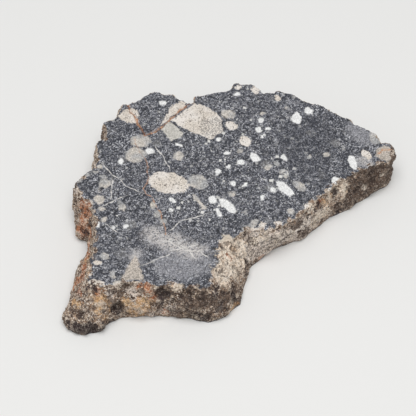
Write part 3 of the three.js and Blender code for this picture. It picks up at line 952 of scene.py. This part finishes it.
metres = breccia.node("ShaderNodeTexCoord", {}, {}, "Object")
place = breccia.scaled(metres, 1 / MM)
height_z = breccia.vector("DOT_PRODUCT", place, (0, 0, 1), output="Value")
rough_place = shaken(place, (0.9, 0.20), (0.20, 0.10))
line_place = shaken(place, (1.4, 0.22), (0.3, 0.09))
drift = breccia.noise(place, 3.2)
flecks = breccia.noise(place, 0.42)
speckle = breccia.noise(place, 0.15, roughness=0.6)
broken = breccia.cells(rough_place, 0.40)[1]
grain = breccia.cells(rough_place, 0.17)[1]
dust = breccia.cells(place, 0.11)[1]
fold = breccia.maths("ABSOLUTE", breccia.noise(rough_place, 0.55) - 0.5)
thread = fold.rise(0.035, 0.008) * breccia.noise(place, 0.8, 1.0).rise(0.42, 0.58)
wobble = sway(broken, 0.22) + sway(breccia.noise(place, 0.7, 3.0), 0.5) + sway(speckle, 0.35)
patch_wobble = sway(breccia.noise(place, 1.2, 3.0, roughness=0.6), 2.4)
print("noise nodes:", len(breccia.tree.nodes))

# %% Where the face is sawn, and where stones lie
RIM = (0.40, 0.66)  # the share of sawn neighbours at which edge colours give way to the face's
to_weather = breccia.vector("DOT_PRODUCT", place, WEATHERED_SIDE, output="Value")
crumbly = to_weather.rise(SOUND_UP_TO, CRUMBLY_FROM)
rim_wobble = (sway(speckle, 0.9) + sway(broken, 0.5)) * (crumbly * 0.65 + 0.35)
sawn = (breccia.attribute("sawn") + rim_wobble).rise(*RIM)
on_top = sawn * height_z.rise(0.4 * THICKNESS, 0.6 * THICKNESS)
hidden_sides = 1 - on_top


def mask(name, soft, extra=0.0):
    """1 inside the stones of a kind and 0 outside, with a broken outline."""
    return (breccia.attribute(name) + wobble + extra).rise(soft, -soft)


def crumbs(size, filled, smallest=0.15, largest=0.45, metric="EUCLIDEAN"):
    """Stones in a random few of the cells: up to 1 in a stone, 0 in the matrix."""
    distance, chance, size_chance, tone_chance = breccia.cells(rough_place, size, metric)
    radius = size_chance * (largest - smallest) + smallest
    inside = (radius - distance).rise(0.0, 0.10)
    return inside * chance.rise(1 - filled, 1 - filled + 0.02) * (tone_chance * 0.65 + 0.35)


print("masks are ready")

# %% Matrix and crumbs
MATRIX_DARK = (48, 50, 58)
MATRIX_LIGHT = (122, 124, 133)
MATRIX_TONE = 0.31  # between the dark and the light, before noise and areas change it
crowd = mask("crowded_areas", 0.8) * 0.65 + 0.35
pale_area = mask("pale_areas", 0.75, patch_wobble)
even_area = mask("even_areas", 0.65, patch_wobble)
dark_area = mask("dark_areas", 0.40)
sparse = 1 - even_area * 0.30
tone = sway(speckle, 2.3 - dark_area * 0.8) + sway(dust, 0.9) + sway(flecks, 0.8) + sway(drift, 0.5)
tone = tone + MATRIX_TONE + pale_area * 0.50 + even_area * 0.22 - dark_area * 0.06
black_grain = grain.rise(0.22, 0.10)
grey_grain = grain.rise(0.86, 0.96)
pale_dust = dust.rise(0.80, 0.95) * flecks.rise(0.36, 0.60)
tiny = crumbs(0.34, 0.26)
small = crumbs(0.66, 0.36, 0.15, 0.58, "MANHATTAN")
middling = crumbs(1.5, 0.16, 0.15, 0.50, "CHEBYCHEV")
large = crumbs(4.2, 0.30, 0.2, 0.42)
colour = coated(two_tone(tone.rise(0.0, 1.0), MATRIX_DARK, MATRIX_LIGHT), [
    ("even areas", even_area, 0.38, (146, 146, 151)),
    ("black grains", black_grain * sparse, 0.70, (28, 29, 34)),
    ("grey grains", grey_grain * sparse, 0.60 - dark_area * 0.3, (170, 171, 177)),
    ("pale dust", pale_dust * sparse * (0.95 - dark_area * 0.6), 0.88, (214, 215, 220)),
    ("threads", thread, pale_area * 0.4 + 0.4 - dark_area * 0.2, (192, 191, 192)),
    ("specks of the even areas", even_area * speckle.rise(0.46, 0.62), 0.35, (184, 182, 185)),
    ("specks of the pale areas", pale_area * speckle.rise(0.36, 0.56), 0.72, (210, 204, 199)),
    ("middling crumbs", middling * sparse, hidden_sides * 0.6 + 0.25, (186, 184, 180)),
    ("tiny crumbs", tiny * crowd, sparse, (214, 214, 213)),
    ("small crumbs", small * crowd, sparse, (222, 221, 217)),
    ("large crumbs of the underside", large * hidden_sides, 0.8, (214, 205, 192)),
])

# %% [markdown]
# ## Stones, veins and rust
#
# The stones are laid over the matrix from the greyest to the whitest, each kind with a shade and a
# light that fine noise mixes, because a stone is a rock of its own with its own grain. The veins are
# thin cracks that healed pale long ago. The rusty cracks are younger: water got in, and its iron
# stained the stone on both sides. Where a crack is still open, a thin dark line of painted shade marks it.

# %% Stones and veins in the sawn face
within = speckle.rise(0.38, 0.62)
stone_tone = breccia.noise(place, 2.0).rise(0.35, 0.65)
cream = mask("cream_stones", 0.07)
great = mask("great_stones", 0.06, 0.03)
dots = (grain.rise(0.12, 0.06) + dust.rise(0.10, 0.04)) * speckle.rise(0.62, 0.45)
cream_shade = two_tone(stone_tone, (198, 188, 176), (222, 214, 206))
cream_light = two_tone(stone_tone, (232, 223, 212), (240, 234, 227))
cream_colour = breccia.blend(within, cream_shade, cream_light)
grey_shade = two_tone(stone_tone, (146, 145, 144), (184, 177, 168))
grey_light = two_tone(stone_tone, (200, 200, 200), (234, 226, 215))
grey_colour = breccia.blend(within, grey_shade, grey_light)
block_colour = two_tone(within, (184, 180, 172), (222, 218, 210))
tan_colour = two_tone(within, (154, 145, 135), (218, 207, 195))
# The edge has no pattern that noise could give: a cream lump here, rust there, near-black painted shade in
# the holes between.
white_colour = two_tone(within, (219, 219, 218), (251, 251, 250))
# Each zone is set as a ball in the stone, and the edge takes its colour where it cuts the ball.
vein = radii_from_lines(line_place, VEINS).rise(1.3, 0.5)
dark_line = radii_from_lines(line_place, DARK_LINES).rise(1.25, 0.6)
colour = coated(colour, [
    ("grey stones", mask("grey_stones", 0.10), 0.82, grey_colour),
    ("grey block", mask("grey_blocks", 0.06) * on_top, 0.85, block_colour),
    ("tan blocks", mask("tan_blocks", 0.12) * on_top, 0.85, tan_colour),
    ("cream stones", cream, 0.95, cream_colour),
    ("great stones", great, 0.95, cream_colour),
    ("grey heart of the great stone", great * dark_area * within.rise(1.0, 0.2), 0.75, (138, 134, 131)),
    ("dark dots in the cream", cream.at_least(great) * dots, 0.75, (92, 84, 79)),
    ("white stones", mask("white_stones", 0.10), 0.95, white_colour),
    ("veins", vein, flecks.rise(0.36, 0.50) * 0.5 + 0.45, (216, 213, 209)),
    ("dark lines", dark_line, 0.7, (52, 50, 52)),
])

# %% Rust in the cracks
CRACK_WOBBLE = 0.12
crack = breccia.attribute("rusty_cracks") + sway(speckle, CRACK_WOBBLE)
long_crack = breccia.attribute("long_crack") + sway(speckle, CRACK_WOBBLE)
long_rust = long_crack.rise(0.12, 0.03) * on_top
# painted shade in the open part of the long crack
long_crack_shade = long_crack.rise(0.08, 0.0) * on_top * flecks.rise(0.46, 0.38)
rust_gaps = flecks.rise(0.40, 0.56)
rust_colour = two_tone(stone_tone, (150, 98, 68), (204, 154, 118))
colour = coated(colour, [
    ("stain beside the cracks", crack.rise(0.34, 0.08) * rust_gaps, 0.40, (206, 170, 142)),
    ("rust in the cracks", crack.rise(0.13, 0.05), rust_gaps * 0.35 + 0.5, rust_colour),
    # painted shade: a thin dark line where a crack is still open and its gap lies in shadow
    ("painted shade in the open cracks", crack.rise(0.09, 0.02) * flecks.rise(0.54, 0.46), 0.8, (66, 48, 42)),
    ("rust in the long crack", long_rust, rust_gaps * 0.45 + 0.35, (186, 142, 112)),
    ("painted shade in the open long crack", long_crack_shade, 0.6, (78, 62, 56)),
])

# %% [markdown]
# ## The weathered edge
#
# The broken edge has lain in soil. It is brown-grey and dull, with tan and cream where stones
# come out, rust where iron has spread, and near-black painted shade in the deepest holes. The attribute
# that was measured on the mesh darkens hollows with painted shade and dirt, and pales the high points,
# as wear does.

# %% Edge colours
PATCH_SOFT = 0.22
# each kind of patch: how much it covers, its shade and its light
PATCH_COLOURS = {
    "beige_patches": (0.95, (192, 173, 159), (255, 246, 238)),
    "brown_patches": (0.90, (68, 54, 47), (122, 102, 88)),
    "tan_patches": (0.96, (168, 122, 80), (246, 210, 164)),
    "cream_patches": (0.97, (220, 192, 164), (255, 247, 234)),
    "rust_patches": (0.94, (134, 76, 48), (212, 142, 98)),
    # painted shade in the holes and at the foot of the edge
    "painted_shade_patches": (0.92, (38, 31, 34), (80, 68, 68)),
}
edge_height = breccia.attribute("height")
coarse = breccia.noise(place, 1.5, 3.0, roughness=0.6)
clots = breccia.noise(place, 0.55, 3.0, roughness=0.65)
edge_wobble = patch_wobble + sway(clots, 1.6)
edge_tone = coarse.rise(0.34, 0.66) * 0.35 + clots.rise(0.36, 0.62) * 0.25 + within * 0.4
patches = {name: mask(name, PATCH_SOFT, edge_wobble) for name in PATCH_COLOURS}
lit = 1 - patches["brown_patches"].at_least(patches["painted_shade_patches"]) * 0.75
bright = patches["rust_patches"].at_least(patches["tan_patches"]).at_least(patches["cream_patches"])
plain = 1 - bright * 0.40
stone_colour = two_tone(within, (196, 176, 156), (252, 242, 228))
edge = coated(two_tone(edge_tone, (80, 63, 53), (182, 155, 132)), [
    (name, patches[name], cover, two_tone(edge_tone, shade, light))
    for name, (cover, shade, light) in PATCH_COLOURS.items()
])
edge = coated(edge, [
    ("stones in the edge", mask("edge_stones", 0.06), 0.85, stone_colour),
    ("black chips", broken.rise(0.24, 0.14) * plain, 0.50, (60, 49, 46)),
    ("pale chips", broken.rise(0.82, 0.92) * lit * plain, 0.45, (214, 196, 176)),
    ("black grains", grain.rise(0.27, 0.17) * plain, 0.62, (54, 43, 40)),
    ("pale grains", grain.rise(0.84, 0.94) * lit * plain, 0.62, (240, 226, 212)),
    ("black dust", dust.rise(0.26, 0.12) * plain, 0.80, (48, 38, 36)),
    ("pale dust", dust.rise(0.80, 0.92) * lit * plain, 0.70, (250, 238, 226)),
    ("threads", thread * lit, 0.45, (206, 190, 174)),
    ("small crumbs", small * lit, 0.25, (220, 206, 188)),
    # painted shade: the hollows of the edge are darkened the way shade darkens them, together with the
    # dirt that lies there
    ("painted shade and dirt in the hollows", edge_height.rise(0.38, 0.05), 0.58, (52, 41, 38)),
    ("wear on the high points", edge_height.rise(0.68, 1.0) * lit, 0.35, (232, 219, 200)),
    # painted shade: the lowest half millimetre of the edge is darkened as the shadow under the undercut
    # foot
    ("painted shade along the foot", height_z.rise(0.5, 0.1), 0.45, (50, 42, 38)),
])
rim_colour = two_tone(edge_tone, (196, 176, 150), (244, 234, 218))
face = coated(colour, [("cream over the rim", patches["cream_patches"], 0.75, rim_colour)])
base = breccia.blend(sawn, edge, face)

# %% Roughness, bump and the finished shader
BROKEN_ROUGHNESS = 0.86
POLISH = 0.34  # how much smoother the saw left its faces
GLOSS = 0.35
BUMP_DEPTH = 0.08 * MM
BUMP_STRENGTH = 0.6
bump_height = breccia.noise(place, 0.14, 3.0, roughness=0.7) * (1 - sawn * 0.8)
bump = breccia.node("ShaderNodeBump", {}, {
    "Strength": BUMP_STRENGTH,
    "Distance": BUMP_DEPTH,
    "Height": bump_height,
})
surface = breccia.node("ShaderNodeBsdfPrincipled", {}, {
    "Base Color": base,
    "Roughness": BROKEN_ROUGHNESS - sawn * POLISH,
    "Normal": bump,
    "Specular IOR Level": GLOSS,
})
breccia.node("ShaderNodeOutputMaterial", {}, {"Surface": surface})
meteorite.data.materials.append(breccia.material)
print("material nodes:", len(breccia.tree.nodes))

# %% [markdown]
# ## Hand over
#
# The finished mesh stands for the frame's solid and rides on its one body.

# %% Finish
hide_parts("meteorite_slice")
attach(meteorite, "root")
